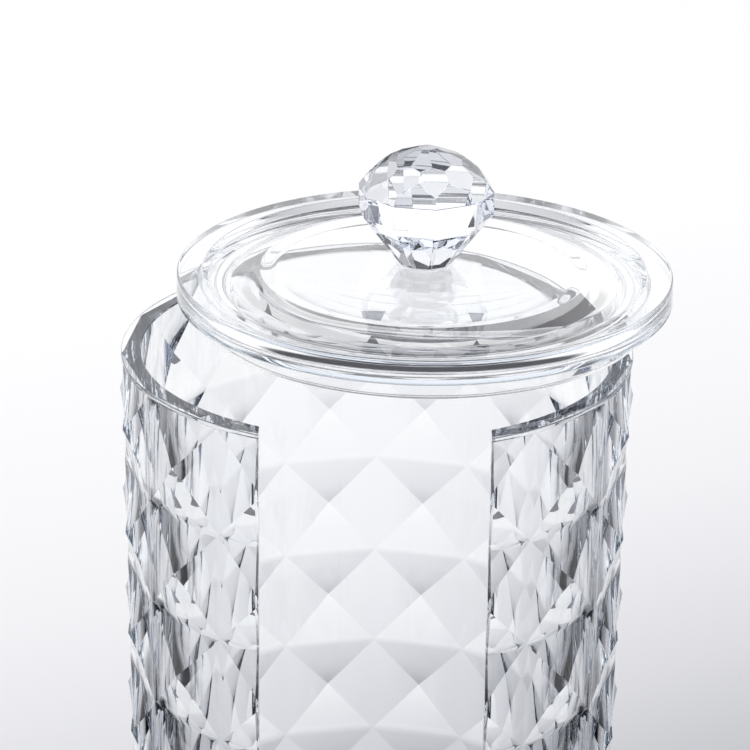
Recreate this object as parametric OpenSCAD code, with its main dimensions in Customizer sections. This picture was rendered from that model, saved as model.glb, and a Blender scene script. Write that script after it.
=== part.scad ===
// Cotton pad holder: a clear moulded cylinder with a diamond-faceted outside
// and a front slot, a clear domed lid with a plug ring, and a faceted knob
// bonded to the middle of the lid.
// Millimetres. +Z is up, -Y is the front (the slot side), and the origin is
// the centre of the underside of the body.

/* [Body] */
// Height of the body, from its underside to the rim
body_h = 162; // [120:1:220]
// Outer radius of the plain lip at the rim
rim_r = 40; // [36:0.5:48]
// Inner radius of the mouth at the rim
mouth_r = 36.9; // [33:0.1:37.4]
// Height of the plain lip above the facets
lip_h = 0.7; // [0.4:0.1:3]
// Radius lost for each millimetre of depth, the moulding draft
draft = 0.0084; // [0:0.0004:0.012]
// Thickness of the floor
floor_t = 3; // [2:0.5:6]

/* [Diamond facets] */
// Diamonds in one row around the body
cells = 15; // [13:1:18]
// Rows of diamonds, one above the other
rows = 9; // [6:1:12]
// Height of one diamond
pitch = 17.5; // [10:0.5:18]
// Radius of the valley corners between diamonds, at the rim
valley_r = 39.85; // [39.6:0.05:40]
// Radius of the diamond points, at the rim
apex_r = 41.1; // [40.4:0.1:42]

/* [Slot] */
// Width of the front slot
slot_w = 34.2; // [20:0.2:44]
// Height of the wall left standing below the slot
slot_sill = 22; // [10:1:60]
// Radius of the slot's two lower corners
slot_corner = 7; // [3:0.5:10]

/* [Lid] */
// Radius of the flange at its underside
flange_r = 39.65; // [38.5:0.05:42]
// Height of the flange, from its underside to its flat top
flange_h = 4.2; // [3:0.1:6]
// Radius of the plug ring at its lower end
plug_r = 35.7; // [34:0.1:36]
// How far the plug ring reaches below the flange
plug_h = 3.8; // [2:0.1:6]
// Wall thickness of the plug ring at its lower end
plug_wall = 1.7; // [1.5:0.1:2.8]
// Outer edge of the ring sunk inside the flange
ring_r = 35.5; // [33:0.1:37]
// Radius of the edge of the domed middle
dome_r = 30.9; // [28:0.1:32]
// Radius where the nearly flat crown turns down into its straight shoulder
shoulder_r = 26.3; // [18:0.1:28]
// Drop from the middle of the crown to the shoulder
shoulder_drop = 1; // [0.4:0.1:2]
// Rise of the crown above the flange
dome_rise = 1; // [0.5:0.1:1.5]
// Thickness of the lid in its middle
web_t = 2.7; // [2:0.1:3.5]
// Radius of the flat middle of the underside
web_flat_r = 24; // [12:0.5:27]
// Radius where the underside's cone ends and its rounding begins
web_cone_r = 29.5; // [28:0.1:31]
// Fall of the underside's cone
web_cone = 0.85; // [0.4:0.05:1.6]
// Centre radius of the rounding into the plug ring
web_round_r = 26.7; // [20:0.1:27.5]
// Height of the straight inside of the plug ring
web_foot = 2.75; // [1:0.05:4]
// Radius of the seat under the knob
seat_r = 4.7; // [4.6:0.1:8]
// How far the lid lies off the body's axis, to the right
lid_off_x = 7.4; // [0:0.1:10]
// How far the lid lies off the body's axis, to the back
lid_off_y = 14; // [8:0.1:16]

/* [Knob] */
// Facets around the knob
knob_sides = 10; // [8:1:12]
// Radius of the knob at the corners of its girdle
knob_r = 10.9; // [9:0.1:13]
// Height of the knob
knob_h = 18.9; // [16:0.1:22]
// Turn of the knob about its axis
knob_turn = 8; // [0:1:36]
// Thickness of the clear bond between knob and lid
bond_t = 0.15; // [0.1:0.05:0.3]

/* [Hidden] */
$fn = 96;
top_z = body_h - lip_h;              // where the facets start
band_z = top_z - rows * pitch;       // where the facets stop
step = 360 / cells;
function shrink(z) = draft * (body_h - z);
function ring_pt(r, a, z) = [(r - shrink(z)) * sin(a), -(r - shrink(z)) * cos(a), z];
// grid corners sit half a step either side of the front, points in between
corner_pts = [for (k = [0:rows]) for (i = [0:cells - 1])
    ring_pt(valley_r, (i + 0.5) * step, top_z - k * pitch)];
point_pts = [for (k = [0:rows - 1]) for (i = [0:cells - 1])
    ring_pt(apex_r, (i + 1) * step, top_z - (k + 0.5) * pitch)];
function c_at(k, i) = k * cells + i % cells;
function p_at(k, i) = (rows + 1) * cells + k * cells + i;
diamond_faces = [for (k = [0:rows - 1]) for (i = [0:cells - 1])
    let (a = c_at(k, i), b = c_at(k, i + 1), c = c_at(k + 1, i), d = c_at(k + 1, i + 1), p = p_at(k, i))
    each [[a, b, p], [b, d, p], [d, c, p], [c, a, p]]];
top_cap = [for (i = [cells - 1:-1:0]) c_at(0, i)];
foot_cap = [for (i = [0:cells - 1]) c_at(rows, i)];

// lid levels, measured from the lower end of the plug ring
bead_z = plug_h + flange_h;          // flat top of the flange
step_z = bead_z - 1;                 // ring sunk inside the flange
well_z = bead_z - 1.45;              // edge of the dome
crown_z = bead_z + dome_rise;        // middle of the crown
seat_z = crown_z + 0.1;              // seat under the knob
under_z = crown_z - web_t;           // flat middle of the underside
plug_in = plug_r - plug_wall;        // inside of the plug ring
shoulder_z = crown_z - shoulder_drop;
crown_ball = (shoulder_r * shoulder_r + shoulder_drop * shoulder_drop) / (2 * shoulder_drop);
// top of the dome, from its edge in to the seat
shoulder_pts = [[dome_r, well_z], [shoulder_r, shoulder_z]];
crown_pts = [for (k = [1:10]) let (r = shoulder_r + (seat_r - shoulder_r) * k / 10)
    [r, crown_z - crown_ball + sqrt(crown_ball * crown_ball - r * r)]];
// underside: its flat middle, a cone, then a rounding down to the plug ring
cone_z = under_z - web_cone;
round_from = asin((web_cone_r - web_round_r) / (plug_in - web_round_r));
round_high = (cone_z - web_foot) / cos(round_from);
under_pts = concat([[web_flat_r, under_z]],
    [for (k = [0:8]) let (a = round_from + (90 - round_from) * k / 8)
        [web_round_r + (plug_in - web_round_r) * sin(a), web_foot + round_high * cos(a)]]);
side = 360 / knob_sides;
flat_in = cos(side / 2);             // corner radius to flat radius

// a block that leaves everything behind one flat: the flat passes through
// (r, z) at azimuth az and faces el degrees above the horizontal
module behind_flat(az, r, z, el)
    rotate([0, 0, az]) translate([r, 0, z]) rotate([0, -el, 0])
        translate([-80, -40, -40]) cube([80, 80, 80]);

module flats(turn, r, z, el)
    intersection_for (i = [0:knob_sides - 1]) behind_flat(turn + i * side, r, z, el);

// slot cutter: parallel sides, open at the top, rounded lower corners
module slot_cutter() {
    w = slot_w / 2;
    translate([-w, -rim_r - 6, slot_sill + slot_corner])
        cube([slot_w, 34, body_h]);
    translate([-w + slot_corner, -rim_r - 6, slot_sill])
        cube([slot_w - 2 * slot_corner, 34, slot_corner + 1]);
    for (s = [-1, 1])
        translate([s * (w - slot_corner), -rim_r - 6, slot_sill + slot_corner])
            rotate([-90, 0, 0]) cylinder(r = slot_corner, h = 34);
}

// body: faceted skin, plain lip and foot band, round inside, floor and slot
module shell() {
    color([0.90, 0.94, 0.97, 0.45])
    difference() {
        union() {
            polyhedron(points = concat(corner_pts, point_pts),
                       faces = concat(diamond_faces, [top_cap, foot_cap]));
            translate([0, 0, top_z]) cylinder(r = rim_r, h = lip_h);
            cylinder(r = valley_r - shrink(0), h = band_z);
        }
        translate([0, 0, floor_t])
            cylinder(r1 = mouth_r - shrink(floor_t), r2 = mouth_r + draft, h = body_h + 1 - floor_t);
        slot_cutter();
    }
}

// lid: flat flange, plug ring below, a sunk ring inside the flange, and a
// nearly flat crown with straight shoulders, hollowed underneath
module lid() {
    color([0.93, 0.95, 0.98, 0.45])
    translate([lid_off_x, lid_off_y, body_h]) {
        rotate_extrude()
            polygon(concat(
                [[0, under_z]],
                under_pts,
                [[plug_in, 0.2],
                 [plug_in + 0.2, 0],
                 [plug_r - 0.3, 0],
                 [plug_r, 0.3],
                 [plug_r + 0.15, plug_h - 0.2],
                 [plug_r + 0.35, plug_h],
                 [flange_r - 0.2, plug_h],
                 [flange_r, plug_h + 0.2],
                 [flange_r - 0.12, bead_z - 0.4],
                 [flange_r - 0.5, bead_z],
                 [ring_r + 0.25, bead_z],
                 [ring_r - 0.3, bead_z - 0.35],
                 [ring_r - 0.8, step_z + 0.12],
                 [ring_r - 1.1, step_z],
                 [dome_r + 0.2, well_z + 0.05]],
                shoulder_pts,
                crown_pts,
                [[seat_r, seat_z],
                 [0, seat_z]]
            ));
    }
}

// thin clear disc of adhesive under the knob
module knob_bond() {
    color([0.96, 0.97, 0.98, 0.6])
    translate([lid_off_x, lid_off_y, body_h + seat_z])
        cylinder(r = 4.3, h = bond_t);
}

// knob: cut crystal, a straight girdle, a flat-sided cone down to the seat
// and three tiers of flats up to a small table
module knob() {
    color([0.86, 0.90, 0.98, 0.6])
    translate([lid_off_x, lid_off_y, body_h + seat_z + bond_t])
    rotate([0, 0, knob_turn - 90])
    intersection() {
        translate([-20, -20, 0]) cube([40, 40, knob_h]);
        flats(side / 2, knob_r * flat_in, 0, 0);
        flats(side / 2, 4.4 * flat_in, 0, -36);
        flats(side / 2, knob_r * flat_in, 12.2, 34);
        flats(0, 9.5, 14.0, 50);
        flats(side / 2, 5.6 * flat_in, 17.3, 68);
    }
}

shell();
lid();
knob_bond();
knob();
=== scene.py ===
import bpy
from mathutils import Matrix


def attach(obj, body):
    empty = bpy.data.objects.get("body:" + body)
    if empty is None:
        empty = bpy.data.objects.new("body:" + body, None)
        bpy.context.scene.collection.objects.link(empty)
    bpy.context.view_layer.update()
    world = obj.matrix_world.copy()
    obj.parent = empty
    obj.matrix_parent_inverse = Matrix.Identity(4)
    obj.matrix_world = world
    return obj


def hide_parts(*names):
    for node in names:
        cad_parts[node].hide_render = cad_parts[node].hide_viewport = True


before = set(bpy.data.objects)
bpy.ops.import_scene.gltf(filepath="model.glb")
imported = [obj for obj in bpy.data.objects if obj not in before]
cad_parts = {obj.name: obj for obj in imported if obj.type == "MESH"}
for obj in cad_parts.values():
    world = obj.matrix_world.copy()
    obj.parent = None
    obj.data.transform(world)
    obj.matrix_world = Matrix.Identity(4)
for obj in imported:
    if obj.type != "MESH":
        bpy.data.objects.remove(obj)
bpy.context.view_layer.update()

import math

import bmesh
import bpy
from mathutils import Matrix, Vector

MM = 0.001
scene = bpy.context.scene

# ------------------------------------------------------------------ dimensions
# The same numbers as the CAD, in millimetres.
BODY_H, RIM_R, MOUTH_R, LIP_H = 162.0, 40.0, 36.9, 0.7
DRAFT, FLOOR_T = 0.0084, 3.0
CELLS, ROWS, PITCH = 15, 9, 17.5
VALLEY_R, APEX_R = 39.85, 41.1
SLOT_W, SLOT_SILL, SLOT_CORNER = 34.2, 22.0, 7.0
FLANGE_R, FLANGE_H = 39.65, 4.2
PLUG_R, PLUG_H, PLUG_WALL = 35.7, 3.8, 1.7
RING_R, DOME_R, SHOULDER_R, SEAT_R = 35.5, 30.9, 26.3, 4.7
SHOULDER_DROP, DOME_RISE = 1.0, 1.0
WEB_T, WEB_FLAT_R, WEB_CONE_R, WEB_CONE, WEB_FOOT, WEB_ROUND_R = 2.7, 24.0, 29.5, 0.85, 2.75, 26.7
LID_X, LID_Y = 7.4, 14.0
KNOB_SIDES, KNOB_R, KNOB_H, KNOB_TURN, BOND_T = 10, 10.9, 18.9, 8.0, 0.15
TOP_Z = BODY_H - LIP_H
BAND_Z = TOP_Z - ROWS * PITCH
STEP = 360.0 / CELLS
BEAD_Z = PLUG_H + FLANGE_H
STEP_Z = BEAD_Z - 1.0
WELL_Z = BEAD_Z - 1.45
CROWN_Z = BEAD_Z + DOME_RISE
UNDER_Z = CROWN_Z - WEB_T
SEAT_Z = CROWN_Z + 0.1


def shrink(z):
    return DRAFT * (BODY_H - z)


# ------------------------------------------------------------------ mesh helpers
def new_object(name, bm):
    bm.normal_update()
    me = bpy.data.meshes.new(name)
    bm.to_mesh(me)
    bm.free()
    ob = bpy.data.objects.new(name, me)
    scene.collection.objects.link(ob)
    return ob


def supported(profile, reach=0.1):
    """Close extra points at both ends of every long run, so that smooth
    shading at a corner doesn't bend the flat beside it."""
    out = [profile[0]]
    for (r0, z0), (r1, z1) in zip(profile, profile[1:]):
        d = math.hypot(r1 - r0, z1 - z0)
        if d > 8 * reach:
            f = reach / d
            out.append((r0 + (r1 - r0) * f, z0 + (z1 - z0) * f))
            out.append((r1 - (r1 - r0) * f, z1 - (z1 - z0) * f))
        out.append((r1, z1))
    return out


def lathe(profile, segments, centre=(0.0, 0.0, 0.0)):
    """A closed solid of revolution. profile runs from axis to axis, (r, z) in mm."""
    profile = supported(profile)
    bm = bmesh.new()
    cx, cy, cz = centre
    rings = []
    for r, z in profile:
        if r < 1e-6:
            rings.append([bm.verts.new(Vector((cx, cy, cz + z)) * MM)])
        else:
            rings.append([
                bm.verts.new(Vector((cx + r * math.cos(2 * math.pi * i / segments),
                                     cy + r * math.sin(2 * math.pi * i / segments),
                                     cz + z)) * MM)
                for i in range(segments)])
    for a, b in zip(rings, rings[1:]):
        for i in range(segments):
            j = (i + 1) % segments
            if len(a) == 1 and len(b) == 1:
                continue
            if len(a) == 1:
                bm.faces.new((a[0], b[j], b[i]))
            elif len(b) == 1:
                bm.faces.new((a[i], a[j], b[0]))
            else:
                bm.faces.new((a[i], a[j], b[j], b[i]))
    bmesh.ops.recalc_face_normals(bm, faces=bm.faces)
    return bm


def rounded(points, radii, steps=5):
    """A profile whose corners are rounded to the given radii, (r, z) in mm."""
    out = []
    n = len(points)
    for i, (p, rad) in enumerate(zip(points, radii)):
        if rad <= 0 or i in (0, n - 1):
            out.append(p)
            continue
        a = Vector(points[i - 1]) - Vector(p)
        b = Vector(points[i + 1]) - Vector(p)
        la, lb = a.length, b.length
        a.normalize()
        b.normalize()
        ang = a.angle(b)
        t = min(rad / math.tan(ang / 2), 0.48 * la, 0.48 * lb)
        rr = t * math.tan(ang / 2)
        mid = (a + b).normalized()
        c = Vector(p) + mid * (rr / math.sin(ang / 2))
        v0 = (Vector(p) + a * t) - c
        v1 = (Vector(p) + b * t) - c
        sweep = v0.angle(v1)
        sign = 1 if v0.x * v1.y - v0.y * v1.x > 0 else -1
        for k in range(steps + 1):
            th = sign * sweep * k / steps
            x = v0.x * math.cos(th) - v0.y * math.sin(th)
            y = v0.x * math.sin(th) + v0.y * math.cos(th)
            out.append((c.x + x, c.y + y))
    return out


def boolean(target, other, operation):
    mod = target.modifiers.new("cut", "BOOLEAN")
    mod.operation = operation
    mod.solver = "MANIFOLD"
    mod.object = other
    bpy.context.view_layer.update()
    dg = bpy.context.evaluated_depsgraph_get()
    me = bpy.data.meshes.new_from_object(target.evaluated_get(dg), depsgraph=dg)
    old = target.data
    target.modifiers.clear()
    target.data = me
    bpy.data.meshes.remove(old)
    bpy.data.objects.remove(other)
    return target


def crisp(ob, angle):
    """Smooth shading in which edges over the angle stay sharp."""
    for p in ob.data.polygons:
        p.use_smooth = True
    ob.data.set_sharp_from_angle(angle=math.radians(angle))


# ------------------------------------------------------------------ body
ARC = 0.0           # how far the valleys follow the round, 0 is straight across
HOLLOW = 0.4        # 0 is a flat facet, more makes it steeper towards the point
HALF = 7            # mesh steps from the edge of a diamond to its point


def facet_skin():
    """The diamond-faceted skin as a closed solid, one row past each end.
    Each facet is slightly hollow, so the valleys between diamonds are soft
    and the ridges up to each point stay crisp."""
    bm = bmesh.new()
    levels = [(j / HALF) ** 1.3 for j in range(HALF + 1)]      # 0 at the edge, 1 at the point
    ts = [v - 1 for v in levels] + [1 - v for v in levels[-2::-1]]
    n = 2 * HALF
    mid_r = VALLEY_R * (ARC + (1 - ARC) * math.cos(math.radians(STEP / 2)))
    rings = []
    for k in range(-1, ROWS + 1):
        for b, v in enumerate(ts):
            if b == n and k < ROWS:
                continue
            z = TOP_Z - (k + 0.5 + v / 2) * PITCH
            ring = []
            for i in range(CELLS):
                for u in ts[:-1]:
                    off = math.radians(u * STEP / 2)
                    chord = VALLEY_R * math.cos(math.radians(STEP / 2)) / math.cos(off)
                    r = ARC * VALLEY_R + (1 - ARC) * chord
                    h = 1 - max(abs(u), abs(v))
                    r += (APEX_R - mid_r) * ((1 - HOLLOW) * h + HOLLOW * h ** 3)
                    r -= shrink(z)
                    a = math.radians((i + 1) * STEP) + off
                    ring.append(bm.verts.new(Vector((r * math.sin(a), -r * math.cos(a), z)) * MM))
            rings.append(ring)
    for row, (hi, lo) in enumerate(zip(rings, rings[1:])):
        for col in range(len(hi)):
            nxt = (col + 1) % len(hi)
            q = (hi[col], hi[nxt], lo[nxt], lo[col])
            # split along the line that runs towards the point
            if ((col % n) < HALF) == ((row % n) < HALF):
                bm.faces.new((q[0], q[1], q[2]))
                bm.faces.new((q[0], q[2], q[3]))
            else:
                bm.faces.new((q[0], q[1], q[3]))
                bm.faces.new((q[1], q[2], q[3]))
    for ring, flip in ((rings[0], False), (rings[-1], True)):
        c = bm.verts.new(Vector((0, 0, ring[0].co.z)))
        for p, q in zip(ring, ring[1:] + ring[:1]):
            bm.faces.new((c, q, p) if flip else (c, p, q))
    bmesh.ops.recalc_face_normals(bm, faces=bm.faces)
    return new_object("skin", bm)


def on_ridge(co):
    """True on the four ridges of a diamond, away from its corners."""
    x, y, z = co / MM
    r = math.hypot(x, y)
    if r < VALLEY_R * math.cos(math.radians(STEP / 2)) - shrink(0) - 0.05:
        return False
    u = (math.degrees(math.atan2(x, -y)) / STEP - 0.5) % 1.0 * 2 - 1
    v = ((TOP_Z - z) / PITCH) % 1.0 * 2 - 1
    return abs(abs(u) - abs(v)) < 0.004


def mark_ridges(ob):
    me = ob.data
    ridge = [on_ridge(v.co) for v in me.vertices]
    for e in me.edges:
        if ridge[e.vertices[0]] and ridge[e.vertices[1]]:
            e.use_edge_sharp = True


def slab(name, z0, z1, r=60.0, segments=48):
    return new_object(name, lathe([(0, z0), (r, z0), (r, z1), (0, z1)], segments))


def slot_cutter():
    """Parallel sides, open at the top, rounded lower corners."""
    w = SLOT_W / 2
    outline = [(-w, BODY_H + 20), (-w, SLOT_SILL + SLOT_CORNER)]
    n = 24
    for k in range(1, n + 1):
        a = math.pi + math.pi / 2 * k / n
        outline.append((-w + SLOT_CORNER + SLOT_CORNER * math.cos(a),
                        SLOT_SILL + SLOT_CORNER + SLOT_CORNER * math.sin(a)))
    for k in range(1, n + 1):
        a = 1.5 * math.pi + math.pi / 2 * k / n
        outline.append((w - SLOT_CORNER + SLOT_CORNER * math.cos(a),
                        SLOT_SILL + SLOT_CORNER + SLOT_CORNER * math.sin(a)))
    outline.append((w, BODY_H + 20))
    bm = bmesh.new()
    a = [bm.verts.new(Vector((x, -52, z)) * MM) for x, z in outline]
    b = [bm.verts.new(Vector((x, -12, z)) * MM) for x, z in outline]
    bm.faces.new(a)
    bm.faces.new(b[::-1])
    m = len(a)
    for i in range(m):
        j = (i + 1) % m
        bm.faces.new((a[j], a[i], b[i], b[j]))
    bmesh.ops.recalc_face_normals(bm, faces=bm.faces)
    return new_object("slot_cutter", bm)


def make_shell():
    seg = 360
    ob = facet_skin()
    boolean(ob, slab("slab", BAND_Z, TOP_Z), "INTERSECT")
    lip = rounded([(0, TOP_Z - 0.004), (RIM_R, TOP_Z - 0.004), (RIM_R, BODY_H), (0, BODY_H)],
                  [0, 0.08, 0.16, 0], 4)
    boolean(ob, new_object("lip", lathe(lip, seg)), "UNION")
    band_r = VALLEY_R - shrink(0)
    band = rounded([(0, 0), (band_r, 0), (band_r, BAND_Z + 0.004), (0, BAND_Z + 0.004)],
                   [0, 0.5, 0.05, 0], 5)
    boolean(ob, new_object("band", lathe(band, seg)), "UNION")
    # a bore with a filleted floor and a softened mouth
    r0 = MOUTH_R - shrink(FLOOR_T)
    bore = rounded([(0, FLOOR_T), (r0, FLOOR_T), (MOUTH_R, BODY_H - 0.16),
                    (MOUTH_R + 0.16, BODY_H + 0.002), (MOUTH_R + 0.16, BODY_H + 8), (0, BODY_H + 8)],
                   [0, 1.4, 0.2, 0, 0, 0], 6)
    boolean(ob, new_object("bore", lathe(bore, seg)), "DIFFERENCE")
    boolean(ob, slot_cutter(), "DIFFERENCE")
    ob.name = "shell_acrylic"
    crisp(ob, 30)
    mark_ridges(ob)
    return ob


# ------------------------------------------------------------------ lid
def make_lid():
    gap = 0.02
    inner = PLUG_R - PLUG_WALL
    # underside: flat in the middle, a cone, then rounded down into the plug ring
    cone_z = UNDER_Z - WEB_CONE
    out = rounded([(0, UNDER_Z), (WEB_FLAT_R, UNDER_Z), (WEB_CONE_R, cone_z)], [0, 6.0, 0], 6)[:-1]
    start = math.asin((WEB_CONE_R - WEB_ROUND_R) / (inner - WEB_ROUND_R))
    high = (cone_z - WEB_FOOT) / math.cos(start)
    for k in range(25):
        a = start + (math.pi / 2 - start) * k / 24
        out.append((WEB_ROUND_R + (inner - WEB_ROUND_R) * math.sin(a), WEB_FOOT + high * math.cos(a)))
    outline = [
        (inner, WEB_FOOT), (inner, gap), (PLUG_R, gap), (PLUG_R + 0.15, PLUG_H),
        (FLANGE_R, PLUG_H), (FLANGE_R - 0.12, BEAD_Z), (RING_R, BEAD_Z), (RING_R - 1.0, STEP_Z),
        (DOME_R + 0.2, WELL_Z + 0.05), (DOME_R, WELL_Z), (SHOULDER_R, CROWN_Z - SHOULDER_DROP)]
    out += rounded(outline, [0, 0.35, 0.3, 0.35, 0.2, 0.35, 0.35, 0.45, 0.1, 0.1, 0], 8)[1:]
    # the crown, a shallow cap inside the straight shoulder
    ball = (SHOULDER_R ** 2 + SHOULDER_DROP ** 2) / (2 * SHOULDER_DROP)
    for k in range(1, 31):
        r = SHOULDER_R + (SEAT_R - SHOULDER_R) * k / 30
        out.append((r, CROWN_Z - ball + math.sqrt(ball * ball - r * r)))
    out += [(SEAT_R - 0.05, SEAT_Z), (0, SEAT_Z)]
    ob = new_object("lid_acrylic", lathe(out, 300, (LID_X, LID_Y, BODY_H)))
    crisp(ob, 14)
    return ob


# ------------------------------------------------------------------ bond and knob
def make_bond():
    z0 = SEAT_Z - 0.012
    z1 = SEAT_Z + BOND_T + 0.012
    prof = rounded([(0, z0), (4.3, z0), (4.22, (z0 + z1) / 2), (4.3, z1), (0, z1)],
                   [0, 0.0, 0.06, 0.0, 0], 4)
    ob = new_object("knob_bond_film", lathe(prof, 96, (LID_X, LID_Y, BODY_H)))
    crisp(ob, 32)
    return ob


def make_knob():
    bm = bmesh.new()
    bmesh.ops.create_cube(bm, size=1.0)
    bmesh.ops.scale(bm, vec=(40, 40, KNOB_H), verts=bm.verts)
    bmesh.ops.translate(bm, vec=(0, 0, KNOB_H / 2), verts=bm.verts)
    side = 360.0 / KNOB_SIDES
    flat_in = math.cos(math.radians(side / 2))

    def flats(turn, r, z, el):
        for i in range(KNOB_SIDES):
            az = math.radians(turn + i * side)
            e = math.radians(el)
            no = Vector((math.cos(az) * math.cos(e), math.sin(az) * math.cos(e), math.sin(e)))
            co = Vector((r * math.cos(az), r * math.sin(az), z))
            res = bmesh.ops.bisect_plane(bm, geom=bm.verts[:] + bm.edges[:] + bm.faces[:],
                                         plane_co=co, plane_no=no, clear_outer=True, dist=1e-5)
            cut = [g for g in res["geom_cut"] if isinstance(g, bmesh.types.BMEdge)]
            if cut:
                bmesh.ops.contextual_create(bm, geom=cut)

    flats(side / 2, KNOB_R * flat_in, 0, 0)
    flats(side / 2, 4.4 * flat_in, 0, -36)
    flats(side / 2, KNOB_R * flat_in, 12.2, 34)
    flats(0, 9.5, 14.0, 50)
    flats(side / 2, 5.6 * flat_in, 17.3, 68)
    bmesh.ops.remove_doubles(bm, verts=bm.verts, dist=1e-4)
    bmesh.ops.recalc_face_normals(bm, faces=bm.faces)
    # fine polished arrises
    bmesh.ops.bevel(bm, geom=bm.edges[:], offset=0.05, offset_type="OFFSET", segments=1,
                    profile=0.5, affect="EDGES", clamp_overlap=True)
    bmesh.ops.rotate(bm, cent=(0, 0, 0), matrix=Matrix.Rotation(math.radians(KNOB_TURN - 90), 3, "Z"),
                     verts=bm.verts)
    bmesh.ops.translate(bm, vec=(LID_X, LID_Y, BODY_H + SEAT_Z + BOND_T), verts=bm.verts)
    bmesh.ops.scale(bm, vec=(MM, MM, MM), verts=bm.verts)
    ob = new_object("knob_crystal", bm)
    for p in ob.data.polygons:
        p.use_smooth = False
    return ob


# ------------------------------------------------------------------ materials
def clear_plastic(name, tint, ior, rough_lo, rough_hi, bump_mm, scale, density, body_tint):
    mat = bpy.data.materials.new(name)
    mat.use_nodes = True
    nt = mat.node_tree
    nt.nodes.clear()
    out = nt.nodes.new("ShaderNodeOutputMaterial")
    bsdf = nt.nodes.new("ShaderNodeBsdfPrincipled")
    bsdf.inputs["Transmission Weight"].default_value = 1.0
    bsdf.inputs["IOR"].default_value = ior
    coord = nt.nodes.new("ShaderNodeTexCoord")
    # faint handling haze
    haze = nt.nodes.new("ShaderNodeTexNoise")
    haze.inputs["Scale"].default_value = scale
    haze.inputs["Detail"].default_value = 5.0
    haze.inputs["Roughness"].default_value = 0.6
    nt.links.new(coord.outputs["Object"], haze.inputs["Vector"])
    rough = nt.nodes.new("ShaderNodeMapRange")
    rough.inputs["From Min"].default_value = 0.45
    rough.inputs["From Max"].default_value = 0.8
    rough.inputs["To Min"].default_value = rough_lo
    rough.inputs["To Max"].default_value = rough_hi
    nt.links.new(haze.outputs["Fac"], rough.inputs["Value"])
    nt.links.new(rough.outputs["Result"], bsdf.inputs["Roughness"])
    ramp = nt.nodes.new("ShaderNodeValToRGB")
    ramp.color_ramp.elements[0].position = 0.3
    ramp.color_ramp.elements[0].color = (*tint, 1.0)
    ramp.color_ramp.elements[1].position = 0.7
    ramp.color_ramp.elements[1].color = (0.998, 0.999, 1.0, 1.0)
    nt.links.new(haze.outputs["Fac"], ramp.inputs["Fac"])
    nt.links.new(ramp.outputs["Color"], bsdf.inputs["Base Color"])
    # slow moulding waves
    wave = nt.nodes.new("ShaderNodeTexNoise")
    wave.inputs["Scale"].default_value = 90.0
    wave.inputs["Detail"].default_value = 2.0
    nt.links.new(coord.outputs["Object"], wave.inputs["Vector"])
    bump = nt.nodes.new("ShaderNodeBump")
    bump.inputs["Strength"].default_value = 1.0
    bump.inputs["Distance"].default_value = bump_mm * MM
    nt.links.new(wave.outputs["Fac"], bump.inputs["Height"])
    nt.links.new(bump.outputs["Normal"], bsdf.inputs["Normal"])
    nt.links.new(bsdf.outputs["BSDF"], out.inputs["Surface"])
    if density > 0:
        vol = nt.nodes.new("ShaderNodeVolumeAbsorption")
        vol.inputs["Color"].default_value = (*body_tint, 1.0)
        vol.inputs["Density"].default_value = density
        nt.links.new(vol.outputs["Volume"], out.inputs["Volume"])
    return mat


acrylic = clear_plastic("clear_acrylic", (0.985, 0.992, 0.998), 1.49, 0.0, 0.006, 0.003, 60.0, 10.0, (0.64, 0.80, 1.0))
acrylic_lid = clear_plastic("clear_acrylic_lid", (0.985, 0.992, 0.998), 1.49, 0.0, 0.006, 0.003, 70.0, 4.5, (0.64, 0.80, 1.0))
adhesive = clear_plastic("clear_adhesive", (0.985, 0.99, 0.99), 1.50, 0.0, 0.03, 0.004, 200.0, 0.0, (1, 1, 1))
crystal = clear_plastic("cut_crystal", (0.98, 0.985, 1.0), 1.56, 0.0, 0.004, 0.0015, 150.0, 4.5, (0.64, 0.76, 1.0))

# ------------------------------------------------------------------ the pieces
shell = make_shell()
lid = make_lid()
bond = make_bond()
knob = make_knob()
for ob, node, body, slot, mat in (
        (shell, "shell", "holder", "clear_acrylic", acrylic),
        (lid, "lid", "lid_with_knob", "clear_acrylic_lid", acrylic_lid),
        (bond, "knob_bond", "lid_with_knob", "clear_adhesive", adhesive),
        (knob, "knob", "lid_with_knob", "cut_crystal", crystal)):
    ob.data.materials.clear()
    ob.data.materials.append(mat)
    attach(ob, body)
    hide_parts(node)

# ------------------------------------------------------------------ floor
def value_ramp(nt, source, stops):
    """A grey ramp over 0..1; stops are (position, value)."""
    ramp = nt.nodes.new("ShaderNodeValToRGB")
    ramp.color_ramp.interpolation = "LINEAR"
    els = ramp.color_ramp.elements
    while len(els) < len(stops):
        els.new(0.5)
    for e, (p, c) in zip(els, stops):
        e.position = p
        e.color = (*c, 1.0)
    nt.links.new(source, ramp.inputs["Fac"])
    return ramp.outputs["Color"]


bm = bmesh.new()
bmesh.ops.create_grid(bm, x_segments=8, y_segments=8, size=5.0)
floor = new_object("floor", bm)
floor.location.z = -0.0002
fm = bpy.data.materials.new("floor")
fm.use_nodes = True
nt = fm.node_tree
fb = nt.nodes["Principled BSDF"]
fb.inputs["Roughness"].default_value = 0.6
fb.inputs["Specular IOR Level"].default_value = 0.2
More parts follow.
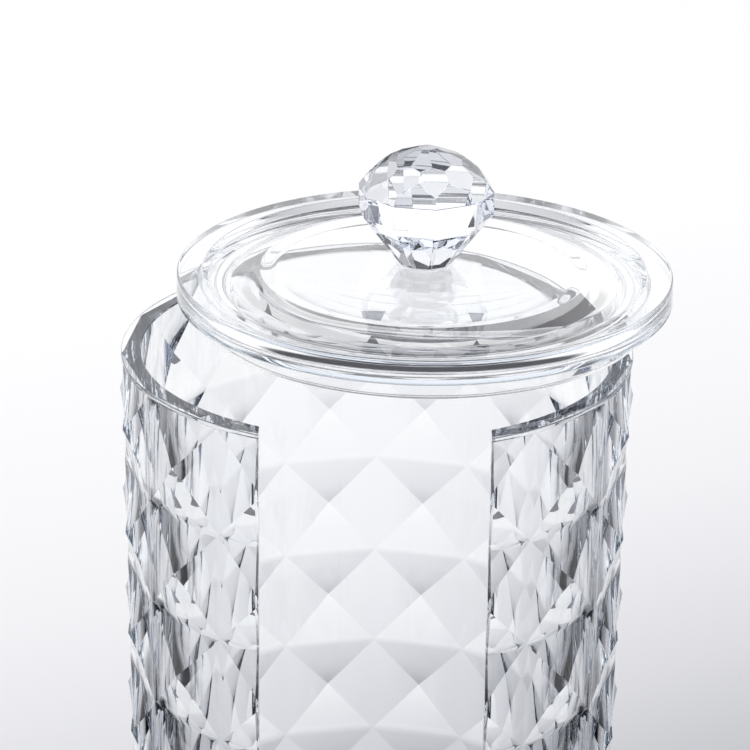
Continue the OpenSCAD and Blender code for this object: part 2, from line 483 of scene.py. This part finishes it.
# painted light and shade in the floor's base colour: a painted pool of light behind the holder that falls off to
# painted shade around it and towards the front, pale again farther in front
geo = nt.nodes.new("ShaderNodeNewGeometry")
mapping = nt.nodes.new("ShaderNodeMapping")
mapping.vector_type = "POINT"
mapping.inputs["Location"].default_value = (0.0, 0.25, 0.0)
nt.links.new(geo.outputs["Position"], mapping.inputs["Vector"])
sep = nt.nodes.new("ShaderNodeSeparateXYZ")
nt.links.new(mapping.outputs["Vector"], sep.inputs["Vector"])
tilt = nt.nodes.new("ShaderNodeMath")
tilt.operation = "MULTIPLY_ADD"
tilt.inputs[1].default_value = -0.55
nt.links.new(sep.outputs["X"], tilt.inputs[0])
nt.links.new(sep.outputs["Y"], tilt.inputs[2])
colour = value_ramp(nt, tilt.outputs[0], [
    (0.0, (0.86, 0.86, 0.88)), (0.12, (0.72, 0.725, 0.75)), (0.20, (0.50, 0.51, 0.54)),
    (0.27, (0.40, 0.41, 0.44)), (0.32, (0.43, 0.44, 0.47)),
    (0.37, (0.55, 0.555, 0.58)), (0.42, (0.69, 0.69, 0.72)), (0.47, (0.79, 0.79, 0.815)),
    (0.52, (0.86, 0.86, 0.88)), (0.58, (0.905, 0.905, 0.92)), (0.64, (0.93, 0.93, 0.945)),
    (0.72, (0.965, 0.965, 0.97)), (0.85, (0.99, 0.99, 0.99)),
])
nt.links.new(colour, fb.inputs["Base Color"])
floor.data.materials.append(fm)


def flag(name, at, rx, ry, core, tone, upright=False):
    """A dark card with a soft edge, seen only in the plastic's own
    reflections and refractions."""
    bm = bmesh.new()
    n = 64
    ring = [bm.verts.new((math.cos(2 * math.pi * i / n), math.sin(2 * math.pi * i / n), 0))
            for i in range(n)]
    bm.faces.new(ring)
    ob = new_object(name, bm)
    ob.location = at
    ob.scale = (rx, ry, 1)
    if upright:
        ob.rotation_euler = (math.pi / 2, 0, 0)
    mat = bpy.data.materials.new(name)
    mat.use_nodes = True
    fn = mat.node_tree
    fn.nodes.clear()
    fo = fn.nodes.new("ShaderNodeOutputMaterial")
    dark = fn.nodes.new("ShaderNodeBsdfDiffuse")
    dark.inputs["Color"].default_value = (*tone, 1)
    clear = fn.nodes.new("ShaderNodeBsdfTransparent")
    mix = fn.nodes.new("ShaderNodeMixShader")
    tc = fn.nodes.new("ShaderNodeTexCoord")
    length = fn.nodes.new("ShaderNodeVectorMath")
    length.operation = "LENGTH"
    fn.links.new(tc.outputs["Object"], length.inputs[0])
    soft = fn.nodes.new("ShaderNodeMapRange")
    soft.interpolation_type = "SMOOTHSTEP"
    soft.inputs["From Min"].default_value = core
    soft.inputs["From Max"].default_value = 1.0
    soft.inputs["To Min"].default_value = 1.0
    soft.inputs["To Max"].default_value = 0.0
    fn.links.new(length.outputs["Value"], soft.inputs["Value"])
    fn.links.new(soft.outputs["Result"], mix.inputs["Fac"])
    fn.links.new(clear.outputs["BSDF"], mix.inputs[1])
    fn.links.new(dark.outputs["BSDF"], mix.inputs[2])
    fn.links.new(mix.outputs["Shader"], fo.inputs["Surface"])
    ob.data.materials.append(mat)
    ob.visible_camera = False
    ob.visible_diffuse = False
    ob.visible_shadow = False
    return ob


flag("flag_left", (-0.245, 0.012, -0.0001), 0.205, 0.130, 0.75, (0.004, 0.003, 0.004))
flag("flag_right", (0.245, 0.012, -0.0001), 0.205, 0.130, 0.75, (0.004, 0.003, 0.003))
flag("flag_left_soft", (-0.260, 0.100, -0.00015), 0.200, 0.260, 0.2, (0.25, 0.25, 0.27))
flag("flag_right_soft", (0.260, 0.100, -0.00015), 0.200, 0.260, 0.2, (0.25, 0.25, 0.27))
flag("flag_near", (0.0, -0.040, -0.00012), 0.300, 0.150, 0.45, (0.035, 0.035, 0.045))
flag("flag_back", (0.0, 0.805, 0.060), 1.100, 0.120, 0.55, (0.25, 0.25, 0.265), upright=True)
flag("flag_top", (0.0, 0.200, 1.000), 1.000, 0.850, 0.65, (0.08, 0.08, 0.09))

# ------------------------------------------------------------------ world
# bright behind and overhead, dim towards the front
world = bpy.data.worlds.new("studio")
scene.world = world
world.use_nodes = True
wn = world.node_tree
wn.nodes.clear()
wo = wn.nodes.new("ShaderNodeOutputWorld")
bg = wn.nodes.new("ShaderNodeBackground")
bg.inputs["Strength"].default_value = 1.2
wc = wn.nodes.new("ShaderNodeTexCoord")
wsep = wn.nodes.new("ShaderNodeSeparateXYZ")
wn.links.new(wc.outputs["Generated"], wsep.inputs["Vector"])


def world_range(source, lo, hi):
    node = wn.nodes.new("ShaderNodeMapRange")
    node.interpolation_type = "SMOOTHSTEP"
    node.inputs["From Min"].default_value = lo
    node.inputs["From Max"].default_value = hi
    wn.links.new(source, node.inputs["Value"])
    return node.outputs["Result"]


wmax = wn.nodes.new("ShaderNodeMath")
wmax.operation = "MAXIMUM"
wn.links.new(world_range(wsep.outputs["Y"], -0.7, 0.35), wmax.inputs[0])
wn.links.new(world_range(wsep.outputs["Z"], 0.35, 0.8), wmax.inputs[1])
wcol = value_ramp(wn, wmax.outputs[0], [
    (0.0, (0.22, 0.225, 0.25)), (0.35, (0.38, 0.39, 0.42)), (0.7, (0.78, 0.78, 0.80)), (1.0, (1.0, 1.0, 1.0))])
wn.links.new(wcol, bg.inputs["Color"])
wn.links.new(bg.outputs["Background"], wo.inputs["Surface"])

# ------------------------------------------------------------------ camera
EL, ROLL, AZ = math.radians(22.1465), math.radians(0.7735), math.radians(0.1926)
DIST, FOCAL, PX, PY = 501.14, 3188.26, 376.78, 374.9
back = Vector((math.sin(AZ) * math.cos(EL), -math.cos(AZ) * math.cos(EL), math.sin(EL)))
target = Vector((0, 0, BODY_H - 4.9268))
eye = target + back * DIST
fwd = -back
right = fwd.cross(Vector((0, 0, 1))).normalized()
up = right.cross(fwd)
r2 = math.cos(ROLL) * right + math.sin(ROLL) * up
u2 = -math.sin(ROLL) * right + math.cos(ROLL) * up
cam_data = bpy.data.cameras.new("camera")
cam = bpy.data.objects.new("camera", cam_data)
scene.collection.objects.link(cam)
m = Matrix((r2, u2, back)).transposed().to_4x4()
m.translation = eye * MM
cam.matrix_world = m
cam_data.sensor_width = 36.0
cam_data.sensor_fit = "HORIZONTAL"
cam_data.lens = FOCAL / 750 * 36.0
cam_data.shift_x = (375 - PX) / 750
cam_data.shift_y = (PY - 375) / 750
cam_data.clip_start = 0.01
cam_data.clip_end = 50
scene.camera = cam

# ------------------------------------------------------------------ light paths and colour
cy = scene.cycles
cy.max_bounces = 32
cy.transmission_bounces = 32
cy.glossy_bounces = 16
cy.diffuse_bounces = 3
cy.transparent_max_bounces = 16
cy.volume_bounces = 0
cy.caustics_refractive = True
cy.caustics_reflective = True
cy.blur_glossy = 0.0
cy.sample_clamp_indirect = 8.0
scene.view_settings.view_transform = "Standard"
scene.view_settings.look = "None"
scene.view_settings.exposure = 0.0
